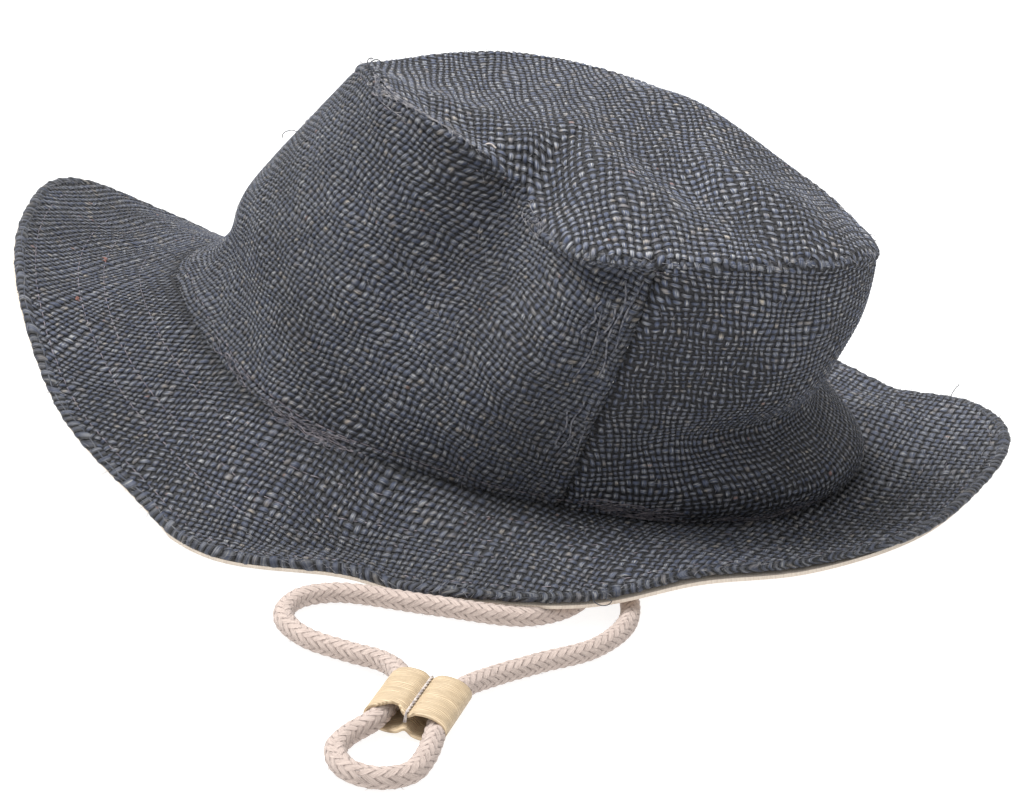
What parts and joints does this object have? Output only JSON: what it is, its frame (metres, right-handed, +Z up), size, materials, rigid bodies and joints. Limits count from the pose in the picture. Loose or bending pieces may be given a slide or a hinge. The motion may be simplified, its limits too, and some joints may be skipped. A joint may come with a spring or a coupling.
{
  "type": "summer hat",
  "caption": "Soft sun hat of coarse woven hemp with a crumpled oval crown, a turned-up brim and a braided chin cord with a slider.",
  "frame": {"origin": "on the surface that the hat lies on, under the middle of the brim's plan", "axes": "+X to the back of the hat, -Y to the wearer's left side, +Z up from the surface"},
  "size_m": [0.3142, 0.3395, 0.1189],
  "materials": {
    "hemp_tip": "coarse plain-weave hemp, matt",
    "hemp_side": "coarse plain-weave hemp, matt",
    "hemp_brim": "coarse plain-weave hemp, matt",
    "cotton_facing": "plain cream cotton cloth, matt",
    "cord_cotton": "braided undyed cotton, matt",
    "slider_wrap": "fine tan fibre wound round two tubes, matt"
  },
  "bodies": {
    "root": {"crown_tip": "hemp_tip", "crown_side_front": "hemp_side", "crown_side_back": "hemp_side", "brim_top": "hemp_brim", "brim_facing": "cotton_facing", "chin_cord": "cord_cotton", "cord_slider": "slider_wrap"}
  },
  "joints": []
}
